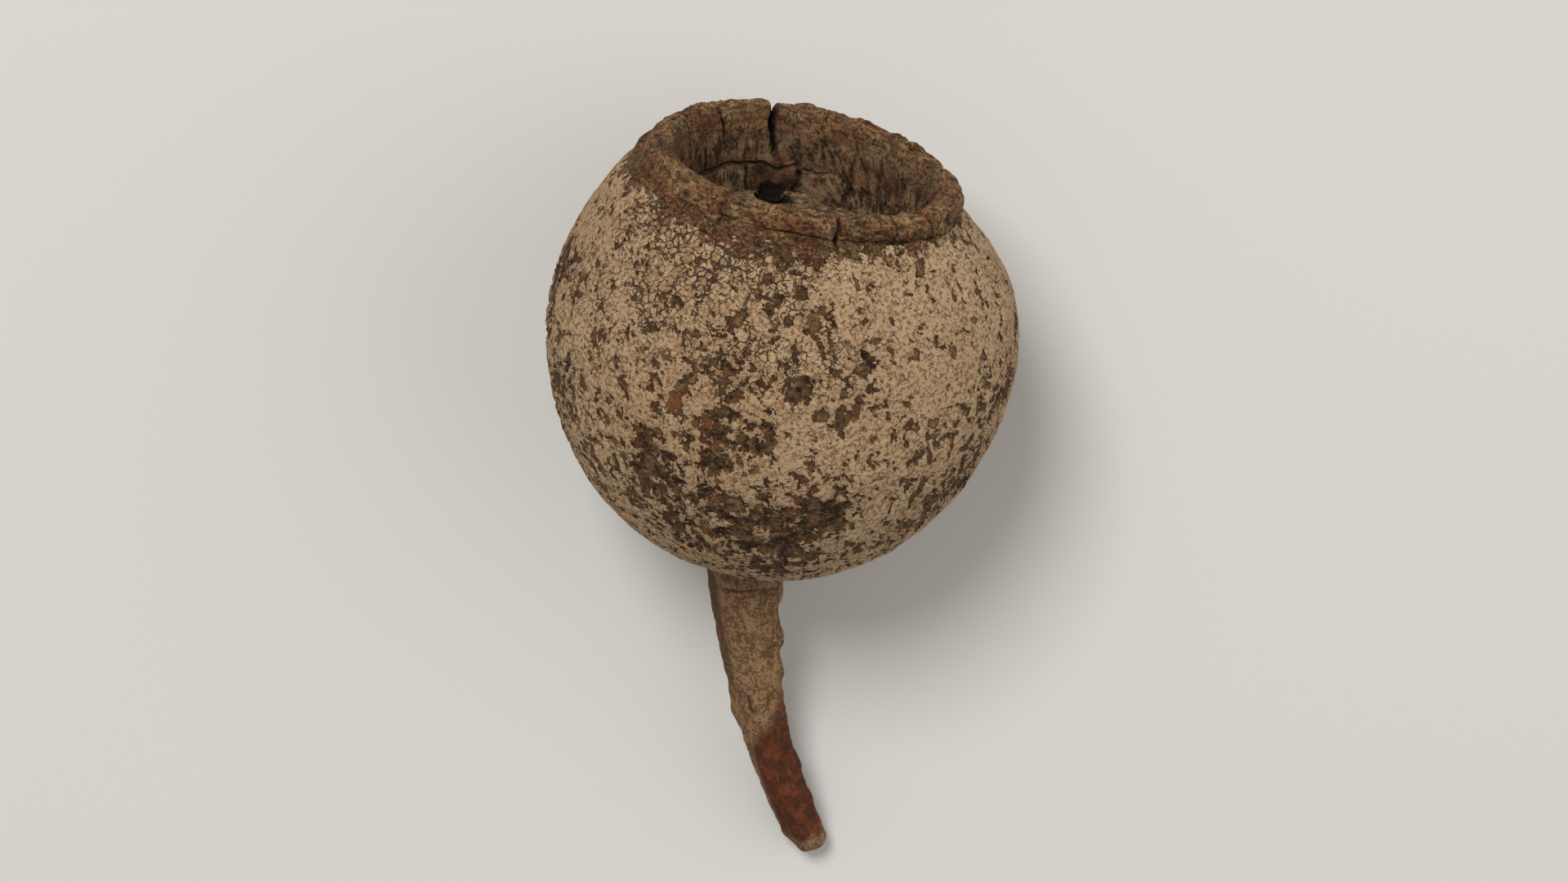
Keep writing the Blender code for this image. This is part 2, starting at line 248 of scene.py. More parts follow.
marks = {
    # splits across the lip: azimuth, how far down the lining and the collar (1 is all), half width, depth
    "splits": [
        (107, 1.0, 0.5, 0.34, 1.2), (134, 0.9, 0.3, 0.18, 0.6), (160, 0.5, 0.3, 0.16, 0.35),
        (69, 0.4, 0.2, 0.14, 0.22), (243, 0.1, 0.7, 0.17, 0.30), (286, 0.8, 0.25, 0.20, 0.5),
        (309, 0.4, 0.7, 0.17, 0.40), (325, 0.4, 0.5, 0.15, 0.35),
    ],
    # and fine ones between them at random: how many, and the ranges of their reach, half width and depth
    "fineSplits": 26, "fineReach": (0.1, 0.7), "fineHalfWidth": (0.09, 0.15), "fineDepth": (0.08, 0.22),
    # cracks that stand in the lining: azimuth, and between which parts of its height (0 is the ring crack)
    "liningCracks": [
        (93, 0.0, 0.25), (120, 0.0, 0.6), (82, 0.3, 0.8), (66, 0.0, 0.9), (52, 0.0, 0.4),
        (148, 0.0, 0.5), (30, 0.2, 0.8), (172, 0.1, 0.7), (205, 0.3, 0.9), (5, 0.3, 0.9),
    ],
    "blockEdges": [15, 41, 67, 93, 120, 155, 182, 210, 238, 265, 293, 320, 348],
    "ringCrackAt": 127.0,  # where the crack round the foot of the lining is widest
    "seamAt": 296.0,  # where the crack under the lip is deepest
    "mergedAt": 190.0,  # where the lip runs down into the collar with no waist
    "notchAcross": -2.5,  # a gap at the foot of the blocks, over the hole in the floor
    "valveSlits": [20, 110, 200, 290],
    # the brown collar's lower edge: azimuth and how far below the crest the pale skin starts
    "collarEdge": [
        (0, 2.0), (60, 2.6), (120, 2.8), (180, 3.5), (215, 3.0), (240, 3.2), (262, 3.15), (283, 3.05),
        (305, 2.6), (340, 2.0), (360, 2.0),
    ],
    # chips out of the skin: how their grid is scaled round and down the globe (under 1 is longer), its
    # spacing, seed, half width, then the share of places with one: everywhere, and added low down, at the
    # sides, and low down at the sides
    "flecks": [
        (1.0, 0.58, 1.05, 260, 0.40, 0.015, 0.985, 0.0, 0.0),
        (1.15, 0.40, 0.95, 270, 0.30, 0.02, 0.0, 0.119, 0.581),
        (1.0, 0.80, 0.80, 290, 0.27, 0.04, 0.60, 0.0, 0.0),
        (0.9, 0.60, 2.0, 280, 0.48, 0.015, 0.14, 0.06, 0.0),
    ],
    "eye": (276.3, 4.5),  # azimuth and height of a round scar
    "slot": (293.1, 7.0),  # and of a slanting one
    # dark stains: azimuth, height, radius, strength
    "stains": [
        (272, -9.0, 3.4, 1.0), (280, -8.0, 2.6, 1.0), (288, -6.8, 2.2, 0.85), (281, -13.0, 3.0, 0.75),
        (259, -2.2, 2.2, 0.85), (260, -7.0, 2.4, 0.8), (261, 0.5, 2.2, 0.85), (268, 0.3, 1.8, 0.75),
        (242, -3.0, 2.0, 0.85), (243, -5.6, 2.4, 0.85), (253, -10.0, 2.6, 0.7), (279, 9.4, 1.3, 0.7),
        (278, 13.6, 1.0, 0.7), (256, 5.0, 1.6, 0.5), (203, -3.4, 2.4, 0.6), (198, 6.0, 2.2, 0.5),
        (196, -8.0, 3.0, 0.6), (335, -6.0, 2.6, 0.6), (345, 1.0, 2.2, 0.5), (322, -9.0, 2.4, 0.6),
        (187, 4.5, 3.0, 0.9), (186, -0.5, 3.2, 0.9), (188, -5.5, 2.8, 0.8), (262, 6.0, 4.5, 0.30),
        (250, 1.5, 4.5, 0.18), (268, 12.0, 3.0, 0.15), (285, 4.0, 3.0, 0.22), (60, -4.0, 4.5, 0.9),
        (130, 3.0, 3.5, 0.8), (20, -8.0, 3.0, 0.7), (150, -9.0, 3.5, 0.8), (95, 8.0, 3.0, 0.6),
    ],
    # heights and depths of the relief
    "lumps": 0.12, "smallLumps": 0.06,
    "skinThickness": 0.18, "skinCurl": 0.04, "skinGrain": 0.035, "stainSunk": 0.05, "scarDepth": 0.25,
    "lipRoughness": 0.18, "lipRaggedness": 0.24, "lipCracks": 0.12, "merging": 0.45, "mergedCollar": 0.5,
    "liningMottles": 0.10, "liningCrackDepth": 0.22,
    "blockSteps": 0.35, "blockGaps": 0.5, "blockLumps": 0.12, "notchDepth": 0.7,
    "crumbs": 0.36, "slitDepth": 0.5,
    # knobs on the stalk: place along it (1 is the tip), azimuth, radius, how far they stand out
    "knobs": [
        (0.08, -20, 1.2, 0.45), (0.24, -10, 1.3, 0.50), (0.36, -15, 1.1, 0.35), (0.72, -30, 1.2, 0.40),
        (0.84, -20, 1.0, 0.35), (0.50, 165, 1.3, 0.30),
    ],
    "stalkFlat": (205, 0.20),  # azimuth and depth of a flat down the stalk
    "stalkCrease": (1.5, 0.16),  # how far along the stalk, and depth
    "stalkSlit": (12.2, -100, 0.10),  # how far along, azimuth and depth
}


def splitsOn(v, marks):
    # every split is a groove that wanders a little round the azimuth as it runs over the lip
    rng = np.random.default_rng(5)
    many = marks["fineSplits"]
    ranges = [(0, 360)] + [marks[name] for name in ("fineReach", "fineReach", "fineHalfWidth", "fineDepth")]
    fine = zip(*[rng.uniform(low, high, many) for low, high in ranges])
    near = np.flatnonzero(v["lining"] | v["lip"] | v["seam"] | v["collar"])
    angle, radius, u = v["angle"][near], v["radius"][near], v["u"][near]
    wander = layeredNoise(v["plain"][near] * [0.5, 0.5, 1.0], 1.3, 60, 2)
    found = np.zeros(len(near))
    for azimuth, downLining, downCollar, halfWidth, deepest in [*marks["splits"], *fine]:
        reach = np.ones(len(near))
        reach = np.where(v["lining"][near], smooth(0.95 - downLining, 1.0, u), reach)
        reach = np.where(v["collar"][near], 1 - smooth(0.5 * downCollar, downCollar + 0.2, u), reach)
        away = np.abs(radius * turnFrom(angle, azimuth) + 0.30 * wander)
        groove = np.clip(1 - away / (halfWidth * (0.3 + 0.7 * reach)), 0, 1) ** 0.7
        found = np.maximum(found, deepest * reach * groove)
    depth = np.zeros(len(v["angle"]))
    depth[near] = found
    return depth


def aboveEdge(height, angle, nut, marks):
    # how far a place is above the lower edge of the brown collar, in mm
    edge = np.interp(np.degrees(angle) % 360, *zip(*marks["collarEdge"]))
    return edge + height - crestAt(angle, nut)


def skinFields(v, nut, marks):
    # where the pale skin has gone, as a distance in mm from the edge of what is left: over 0 is bare. Every
    # kind of mark is such a distance, and the largest one counts. Gives bare, stain, net, scars and swelling
    near = np.flatnonzero(v["shoulder"] | v["belly"] | v["collar"] | v["flare"])
    p, angle, radius = v["plain"][near], v["angle"][near], v["radius"][near]
    height = p[:, 2]
    warp = np.stack([0.45 * gradientNoise(p, 1.3, 201 + k) + 0.2 * gradientNoise(p, 0.5, 211 + k)
                     for k in range(3)], axis=1)
    q = p + warp
    flow = around(angle, nut["globeRadius"], v["down"][near]) + warp  # round and down the globe
    low = smooth(7, -5, height)  # 0 on the upper globe, 1 from just below its middle
    side = smooth(22, 50, degreesFrom(angle, 278))  # 0 in front, 1 at the sides and behind

    # a net of cracks round pale cells: strong on the upper left, and close under the collar
    fromLeft = degreesFrom(angle, 250) + 24 * layeredNoise(p, 5.0, 231, 3)
    above = aboveEdge(height, angle, nut, marks)
    net = 0.95 * smooth(58, 12, fromLeft) * smooth(-2, 8, height)
    net = net + 0.25 * smooth(-5, 0, above) * smooth(75, 40, fromLeft)
    net += 0.2 * smooth(-2.2, 0, above)
    net = np.clip(net + 0.35 * layeredNoise(p, 3.0, 230, 2) * smooth(0, 0.3, net), 0, 1.1)
    first, second, _, number = cellNoise(q * [1, 1, 1.2], 1.0, 240)
    bare = -0.30 + 0.13 * net - (second - first) / 2
    bare = np.maximum(bare, np.where(number < 0.08 * net, 0.30 - first, -0.5))

    # cracks that gape where three cells meet, with thin tails
    first, second, third, _ = cellNoise(q * [1, 1, 0.85], 1.7, 250)
    gape = 0.22 * gradientNoise(p, 1.6, 251) - 0.02 + 0.05 * side + 0.05 * low
    bare = np.maximum(bare, gape - (third - first) / 2)
    bare = np.maximum(bare, -0.11 + 0.12 * layeredNoise(p, 2.2, 253, 2) - (second - first) / 2)

    # flecks: small ovals low in front, upright ones at the sides, and a few larger ones
    zones = np.stack([np.ones(len(p)), low, side, side * low])
    for roundways, downways, size, seed, wide, *shares in marks["flecks"]:
        first, _, _, number = cellNoise(flow * [roundways, roundways, downways], size, seed)
        wanted = np.dot(shares, zones) * (1 + 1.2 * gradientNoise(p, 4.5, seed + 1))
        wanted = wanted + 0.10 * low * gradientNoise(p, 3.0, seed + 2)
        fleck = wide * (0.55 + 0.45 * number / (wanted + 0.01)) - first
        bare = np.maximum(bare, np.where(number < wanted, fleck, -0.5))

    # stains: soft blobs whose edges are broken up, with islands of skin left inside
    stainAndShade, halo = np.zeros(len(p)), np.zeros(len(p))
    for where, level, wide, strength in marks["stains"]:
        away = np.hypot(radius * turnFrom(angle, where), height - level)
        stainAndShade = np.maximum(stainAndShade, strength * np.exp(-((away / wide) ** 4)))
        halo = np.maximum(halo, strength * bump(away, 1.35 * wide))
    broken = 1.1 * layeredNoise(q, 1.6, 300, 2) + 1.2 * gradientNoise(q, 0.7, 304)
    bare = np.maximum(bare, 0.60 * (stainAndShade + 0.70 * broken - 0.52))
    stainAndShade = np.clip(halo + 0.3 * broken * (stainAndShade > 0.05), 0, 1)

    # two scars: a round eye with a pit in the middle, and a dark slanting slot
    (where, level), (slotWhere, slotLevel) = marks["eye"], marks["slot"]
    fromEye = np.hypot(radius * turnFrom(angle, where), height - level)
    eye = fromEye + 0.12 * layeredNoise(p, 0.6, 310, 2)
    bare = np.maximum(bare, 0.25 * (1.15 - eye))
    stainAndShade = np.maximum(stainAndShade, 0.40 * smooth(1.5, 1.0, eye) + 0.35 * smooth(0.8, 0.1, eye))
    a, b = radius * turnFrom(angle, slotWhere), height - slotLevel
    slot = np.hypot((a - b) * 0.52, (a + b) * 1.25) + 0.10 * layeredNoise(p, 0.6, 311, 2)
    bare = np.maximum(bare, 0.55 - slot)
    stainAndShade = np.maximum(stainAndShade, 1.3 * smooth(0.75, 0.45, slot))
    scars = 0.95 * smooth(0.45, 0.20, eye) + 0.18 * bump(eye - 0.90, 0.14) + 0.75 * smooth(0.5, 0.2, slot)

    every = np.zeros((5, len(v["angle"])))
    every[0] = -0.5
    every[:, near] = np.clip(bare, -0.5, 0.8), stainAndShade, net, scars, 0.25 * bump(fromEye, 1.2)
    return every


def reliefOf(v, nut, marks):
    # how far each vertex stands out of the plain form in mm, and the marks that the material reads
    p, angle, radius, u = v["plain"], v["angle"], v["radius"], v["u"]
    onGlobe = v["shoulder"] | v["belly"]
    inLining, inBlocks, inFloor = v["lining"], v["blocks"], v["floor"]

    # lumps of the whole capsule
    stands = marks["lumps"] * gradientNoise(p, 4.5, 11) + marks["smallLumps"] * gradientNoise(p, 1.8, 12)

    # the skin stands proud of the bare wood, and curls up at its edges
    bare, stainAndShade, net, crack, swelling = skinFields(v, nut, marks)
    collar = aboveEdge(p[:, 2], angle, nut, marks) + 0.45 * layeredNoise(p, 1.8, 21, 3)
    collar = np.where(onGlobe | v["collar"], collar, np.where(v["flare"], -9, 2))
    onSkin = (onGlobe | v["collar"] | v["flare"]) * smooth(0.3, -0.3, collar)
    flaked = -marks["skinThickness"] * smooth(-0.12, 0.12, bare)
    stands += onSkin * (flaked + marks["skinCurl"] * bump(bare + 0.14, 0.12)) + swelling
    stands += onSkin * marks["skinGrain"] * layeredNoise(p, 0.8, 22, 2)
    stands -= marks["scarDepth"] * crack + onSkin * marks["stainSunk"] * stainAndShade

    # the lip and the collar: rough pitted wood, worn smoother on the left, with splits across it
    woody = v["lip"] | v["seam"] | v["collar"] | inLining | (onGlobe & (collar > -0.5))
    rough = marks["lipRoughness"] * layeredNoise(p, 1.3, 31, 5)
    calm = 1 - 0.55 * smooth(75, 35, degreesFrom(angle, 205))
    stands += np.where(woody, rough * calm * np.where(inLining, 0.6, 1), 0)
    ragged = layeredNoise(around(angle, 11, 0), 1.6, 33, 4)
    stands += v["lip"] * marks["lipRaggedness"] * calm * ragged * np.sin(np.pi * np.clip(u, 0, 1))
    splits = splitsOn(v, marks)
    stands -= splits
    crack = np.maximum(crack, smooth(0.05, 0.30, splits))

    # a few cracks along the lip and the collar, and the one under the lip
    banded = around(angle, 2.6, v["down"] + 0.8 * gradientNoise(p, 2.2, 36))
    lines = smooth(0.07, 0.015, np.abs(gradientNoise(banded, 1.1, 37)))
    lines = lines * smooth(0.1, 0.45, gradientNoise(p, 2.2, 38))
    onBand = (v["collar"] | v["seam"] | v["lip"] | onGlobe) * smooth(-0.2, 0.4, collar)
    stands -= onBand * marks["lipCracks"] * lines
    crack = np.maximum(crack, onBand * 0.7 * lines)
    seam = smooth(62, 30, degreesFrom(angle, marks["seamAt"]) + 22 * gradientNoise(p, 2.5, 39))
    crack = np.maximum(crack, v["seam"] * np.where((u > 0.2) & (u < 0.8), 0.65, 0.2) * seam)
    stands += v["seam"] * (0.16 - 0.22 * seam)

    # on the left the lip runs down into the collar with no waist between them
    filled = v["seam"] + v["collar"] + v["lip"] * smooth(0.75, 1.0, u) + v["shoulder"] * smooth(0.30, 0.0, u)
    filled = marks["merging"] * filled + v["collar"] * marks["mergedCollar"] * np.sin(np.pi * u)
    stands += smooth(75, 25, degreesFrom(angle, marks["mergedAt"])) * filled

    # the lining: faint upright fibres, a few cracks, and the ring crack at their foot
    swept = angle - 0.08 * (p[:, 2] - nut["crestHeight"]) * smooth(110, 60, degreesFrom(angle, 10))
    fibres = layeredNoise(around(swept, 10, p[:, 2] * 0.22 + 0.4 * gradientNoise(p, 2.5, 41)), 0.8, 42, 3)
    fibres = (0.02 + 0.20 * smooth(20, 70, degreesFrom(angle, 100))) * fibres
    mottles = marks["liningMottles"] * layeredNoise(p, 1.6, 43, 3)
    stands += inLining * (fibres + mottles) * smooth(1.0, 0.8, u)
    wander = 0.55 * gradientNoise(p, 1.8, 51) + 0.2 * gradientNoise(p, 0.7, 53)
    for where, start, end in marks["liningCracks"]:
        along = smooth(start - 0.1, start + 0.05, u) * smooth(end + 0.1, end - 0.05, u)
        line = inLining * along * bump(radius * turnFrom(angle, where) + wander, 0.13)
        stands -= marks["liningCrackDepth"] * line
        crack = np.maximum(crack, 0.85 * line)
    wide = smooth(50, 22, degreesFrom(angle, marks["ringCrackAt"]))
    wide = np.maximum(wide, 0.7 * smooth(0.15, 0.5, gradientNoise(p, 3.5, 45)))
    crack = np.maximum(crack, v["crack"] * (0.10 + 0.72 * wide))
    stands += v["crack"] * nut["ringCrackCut"] * (1 - wide)

    # the blocks under the ring crack: each sits at its own depth, with upright cracks between them
    signed = np.stack([radius * turnFrom(angle, where) + wander for where in marks["blockEdges"]])
    nearest = np.abs(signed).argmin(axis=0)
    gap = np.take_along_axis(signed, nearest[None], axis=0)[0]
    block = (nearest + (gap > 0)) % len(marks["blockEdges"])
    offset = hashed(np.stack([block, 0 * block, 0 * block], axis=1), 8) - 0.5
    stepped = marks["blockSteps"] * offset * smooth(0, 0.5, np.abs(gap))
    here = gradientNoise(p, 2.6, 54) + 0.7 * bump(turnFrom(angle, 105), 0.7)
    parted = bump(gap, 0.17) * smooth(-0.4, 0.2, here)
    lumps = marks["blockLumps"] * layeredNoise(p, 1.2, 52, 3)
    stands += inBlocks * (stepped - marks["blockGaps"] * parted + lumps)
    crack = np.maximum(crack, inBlocks * 0.95 * parted)

    # the notch at their foot, over the pit: cut in, and painted dark as its shadow
    aside = np.abs(p[:, 0] - marks["notchAcross"] + 0.3 * wander)
    notch = inBlocks * smooth(1.10, 0.80, aside) * smooth(0.38, 0.22, u + 0.1 * wander) * (p[:, 1] > 0)
    leading = (inFloor + v["pit"] * smooth(0.5, 1, u)) * smooth(1.20, 0.80, aside)
    notch = notch + leading * smooth(5.0, 5.9, p[:, 1])
    stands -= marks["notchDepth"] * notch
    crack = np.maximum(crack, notch)
    # painted shade over the middle block above the hole, darkest at its foot
    crack = np.maximum(crack, 0.8 * inBlocks * bump(aside, 2.8) * smooth(1.2, 0.1, u) * (p[:, 1] > 0))

    # the floor: crumbly valves with slits between them, and the pit
    slits = [np.abs(radius * turnFrom(angle, where) + 1.6 * wander) for where in marks["valveSlits"]]
    parting = bump(np.min(slits, axis=0), 0.2) * smooth(0.95, 0.7, u)
    crumbs = layeredNoise(p, 1.3, 55, 4)
    stands += inFloor * smooth(0, 0.2, u) * (marks["crumbs"] * crumbs - marks["slitDepth"] * parting)
    # dark slits between the valves, and painted shade in the low hollows of the crumbs and at the rim of the
    # pit
    for dark in (0.9 * parting, 0.75 * smooth(-0.35, -0.85, crumbs), smooth(0.05, 0.0, u)):
        crack = np.maximum(crack, inFloor * dark)
    # the pit painted near black all over, as the shade down the hole
    crack = np.where(v["pit"], 1.0, crack)

    # rust-brown and dark wood, in drifts
    rust = smooth(0.0, 0.8, layeredNoise(p, 2.0, 71, 3) + 0.30 * woody * bump(turnFrom(angle, 220), 0.7))
    darkWood = v["lip"] * bump(turnFrom(angle, 205), 0.7) + inLining * bump(turnFrom(angle, 10), 0.9)
    stainAndShade = np.maximum(stainAndShade, darkWood * smooth(-0.5, 0.4, layeredNoise(p, 2.5, 73, 2)))
    fields = {"bare": bare, "stainAndShade": stainAndShade, "rust": rust, "net": net, "collar": collar,
              "crack": np.clip(crack, 0, 1)}
    return stands, fields, swept


def capsuleSurface(nut, marks):
    # every ring is a circle with faint lobes; near the mouth it shears down to the right and the back,
    # and on the way to the pit it slides off the axis and becomes a rounded triangle
    rings = outlineOf(nut)
    names, u, r, z, toPit, columns = (np.array(part) for part in zip(*rings))
    columns = columns.astype(int)
    ring = np.repeat(np.arange(len(rings)), columns)
    starts = np.concatenate([[0], np.cumsum(columns)])
    angle = 2 * np.pi * (np.arange(starts[-1]) - starts[ring]) / columns[ring]
    radius, height, pit, u = r[ring], z[ring], toPit[ring], u[ring]
    v = {name: names[ring] == name for name in dict.fromkeys(names.tolist())}  # which vertices a stretch has

    foot = v["crack"] + v["lining"] * (1 - u) ** 2 + v["blocks"] * u**2
    ledge = around(angle, nut["liningFootRadius"], 0)
    height = height + foot * (0.6 * gradientNoise(ledge, 4.5, 61) + 0.42 * gradientNoise(ledge, 1.5, 62))
    lobes = 1 + nut["twoLobes"] * np.cos(2 * angle - 0.6) + nut["threeLobes"] * np.cos(3 * angle + height / 6)
    lobes += nut["mouthLobes"] * smooth(6, 13, height) * np.cos(3 * angle + 0.8)
    corners = 1 + nut["pitCorners"] * pit**2 * np.cos(3 * (angle + math.pi / 2))
    x = radius * lobes * corners * np.cos(angle) + nut["pitCentre"][0] * pit
    y = radius * lobes * corners * np.sin(angle) * (1 + 0.3 * pit**2) + nut["pitCentre"][1] * pit
    x += nut["stalkRootX"] * smooth(-19, -22, height)
    right, back = (math.tan(math.radians(nut[name])) for name in ("mouthLeanRightDeg", "mouthLeanBackDeg"))
    plain = np.stack([x, y, height - (x * right + y * back) * smooth(5, 12, height)], axis=1)

    outline = np.stack([r, z], axis=1)
    along = np.gradient(outline, axis=0)
    along /= np.linalg.norm(along, axis=1)[:, None]
    out = around(angle, -along[ring, 1], along[ring, 0])  # square to the outline
    down = np.concatenate([[0], np.cumsum(np.linalg.norm(np.diff(outline, axis=0), axis=1))])[ring]
    v.update(angle=angle, radius=radius, u=u, plain=plain, down=down)
    stands, fields, swept = reliefOf(v, nut, marks)
    # where the lining's tones lie: fuller further down the cup and a little on the lip's inner side,
    # darkening them partly as painted shade
    fields["cup"] = np.where(v["lining"], 0.4 + 0.6 * smooth(1.0, 0.6, u), (v["blocks"] | v["crack"]) * 1.0)
    fields["cup"] += np.where(v["lip"], 0.4 * smooth(0.5, 0.0, u), 0)
    fields["floor"] = (v["floor"] | v["pit"]) * 1.0
    fields["stalk"] = np.where(v["flare"], smooth(0.15, 0.6, u), 0.0)
    fields["uprightGrain"] = around(swept, 10, plain[:, 2] * 0.2)
    fields["roundGrain"] = around(angle, 2.6, down)
    return plain + stands[:, None] * out, fields, columns


def stalkSurface(nut, marks, rootZ):
    # rings square to the stalk's line: a radius that thins towards the tip, with knobs, flats and grooves
    count, many = 104, nut["columns"] // 4
    t, places, along = stalkLine(nut, rootZ, count)
    right = np.cross(along, [0, 1, 0])
    right /= np.linalg.norm(right, axis=1)[:, None]
    back = np.cross(right, along)
    t, places, along, right, back = (part[1:, None] for part in (t, places, along, right, back))
    angle = 2 * np.pi * np.arange(many)[None] / many
    thinning = (nut["stalkRootRadius"] - nut["stalkTipRadius"]) * np.exp(-nut["stalkThinning"] * t)
    plainRadius = nut["stalkTipRadius"] + thinning + 0 * angle
    length = t * nut["stalkLength"] + 0 * angle

    # a faintly four-sided section that slowly twists, with a flat along its left, and knobs
    radius = plainRadius * (1 + 0.05 * np.cos(2 * angle + 3 * t) + 0.04 * np.cos(4 * angle + 0.8 - t))
    flatAt, flatDepth = marks["stalkFlat"]
    radius -= flatDepth * bump(turnFrom(angle, flatAt), 0.35) * smooth(1.0, 0.8, t)
    for place, azimuth, wide, out in marks["knobs"]:
        away = np.hypot(plainRadius * turnFrom(angle, azimuth), (t - place) * nut["stalkLength"])
        radius += out * bump(away, wide)

    # grooves along it, pits, a crease under its root, and one open slit with raised lips
    grain = around(angle, 2.2, length * 0.16).reshape(-1, 3)
    grooves = layeredNoise(grain, 0.9, 81, 3).reshape(radius.shape)
    pits = layeredNoise(grain * [1, 1, 5.0], 1.0, 85, 3).reshape(radius.shape)
    deepGrooves = smooth(0.55, 0.85, -grooves)
    radius += (0.06 * grooves - 0.08 * deepGrooves + 0.12 * pits) * smooth(-0.01, 0.06, t)
    creaseAt, creaseDepth = marks["stalkCrease"]
    fromFront = np.abs(turnFrom(angle, -90))
    crease = bump(length - creaseAt + 0.75 * np.cos(1.2 * fromFront), 0.17) * smooth(1.2, 0.6, fromFront)
    radius -= creaseDepth * crease
    slitAt, slitTurn, slitDepth = marks["stalkSlit"]
    aside, beyond = plainRadius * turnFrom(angle, slitTurn), np.abs(length - slitAt)
    slit = bump(aside, 0.15) * smooth(1.2, 0.6, beyond)
    radius += slitDepth * bump(np.abs(aside) - 0.35, 0.16) * smooth(1.4, 0.8, beyond)
    radius -= slitDepth * slit
    crack = np.maximum(0.8 * (0.35 * deepGrooves + 1.2 * slit), 0.8 * crease)

    # it thins to a blunt point at the tip, more from its left
    radius *= 1 - (0.20 - 0.14 * np.cos(angle)) * smooth(0.93, 1.0, t)
    body = places + radius[..., None] * (np.cos(angle)[..., None] * right + np.sin(angle)[..., None] * back)

    # the tip is snapped off at a slant, its edge worn round: each ring's share of the radius, and how far on
    inward = np.array([0.95, 0.84, 0.68, 0.47, 0.24])[:, None]
    forward = np.array([0.16, 0.36, 0.54, 0.66, 0.72])[:, None] + 0 * angle
    slant = 0.10 * nut["stalkTipRadius"] * np.array([0.4, 0.8, 1, 1, 1])[:, None]
    forward = forward + slant * inward * np.cos(angle) + 0.12 * np.cos(3 * angle + 1) * inward
    tip = places[-1:] + forward[..., None] * along[-1:]
    outward = np.cos(angle)[..., None] * right[-1:] + np.sin(angle)[..., None] * back[-1:]
    tip = tip + (radius[-1:] * inward)[..., None] * outward
    grid = np.concatenate([body, tip])

    # the marks, carried on over the tip: dried gum before it, and painted shade down its left side
    rows, added = len(grid), len(tip)
    pad = lambda values: np.concatenate([values, np.repeat(values[-1:], added, axis=0)]).reshape(-1)
    length = pad(length)
    angle = np.broadcast_to(angle, (rows, many)).reshape(-1)
    points = grid.reshape(-1, 3)
    fromRight = np.cos(angle + 0.3)
    gum = smooth(15.2, 18.2, length + 2.6 * fromRight + 1.6 * layeredNoise(points, 2.4, 90, 3))
    gum *= smooth(27.4, 25.6, length - 0.5 * fromRight + 1.2 * gradientNoise(points, 1.2, 91))
    gum *= smooth(-0.92, -0.60, fromRight)
    blank = np.zeros(len(points))
    fields = {
        "bare": blank - 0.5, "net": blank, "cup": blank, "floor": blank, "stalk": blank + 1,
        "collar": blank - 9, "rust": np.clip(gum, 0, 1), "crack": np.clip(pad(crack), 0, 1),
        # painted shade down the stalk's left side, on the half nearer its root
        "stainAndShade": smooth(-0.90, -0.985, np.cos(angle - 0.30)) * smooth(13, 8, length),
        "uprightGrain": around(angle, 2.2, length * 0.16), "roundGrain": around(angle, 1, length),
    }
    return points, fields, np.full(rows, many)


def ringFaces(columns):
    # quads between rings with as many columns, three triangles a step where a ring has half or twice as many
    starts = np.concatenate([[0], np.cumsum(columns)])
    quads, triangles = [], []
    for k, (m, n) in enumerate(zip(columns, columns[1:])):
        a, b = starts[k], starts[k + 1]
        j = np.arange(min(m, n))
        i = (j + 1) % min(m, n)
        if m == n:
            quads.append((a + j, b + j, b + i, a + i))
        elif m > n:
            mid, far = a + 2 * j + 1, a + (2 * j + 2) % m
            triangles += [(a + 2 * j, b + j, mid), (mid, b + j, b + i), (mid, b + i, far)]
        else:
            mid, far = b + 2 * j + 1, b + (2 * j + 2) % n
            triangles += [(a + j, b + 2 * j, mid), (a + j, mid, a + i), (a + i, mid, far)]
    # fans that close the two ends, round two vertices that follow the last ring
    total = starts[-1]
    first, last = np.arange(columns[0]), np.arange(columns[-1])
    triangles.append((np.full(len(first), total), first, (first + 1) % len(first)))
    triangles.append((np.full(len(last), total + 1), starts[-2] + (last + 1) % len(last), starts[-2] + last))
    return [np.concatenate([np.stack(part, axis=1) for part in parts]) for parts in (quads, triangles)]


# the attributes that carry the marks to the material, three in each
packs = {"skinFields": ("bare", "stainAndShade", "rust"), "zoneFields": ("collar", "cup", "floor"),
         "woodFields": ("stalk", "crack", "net")}


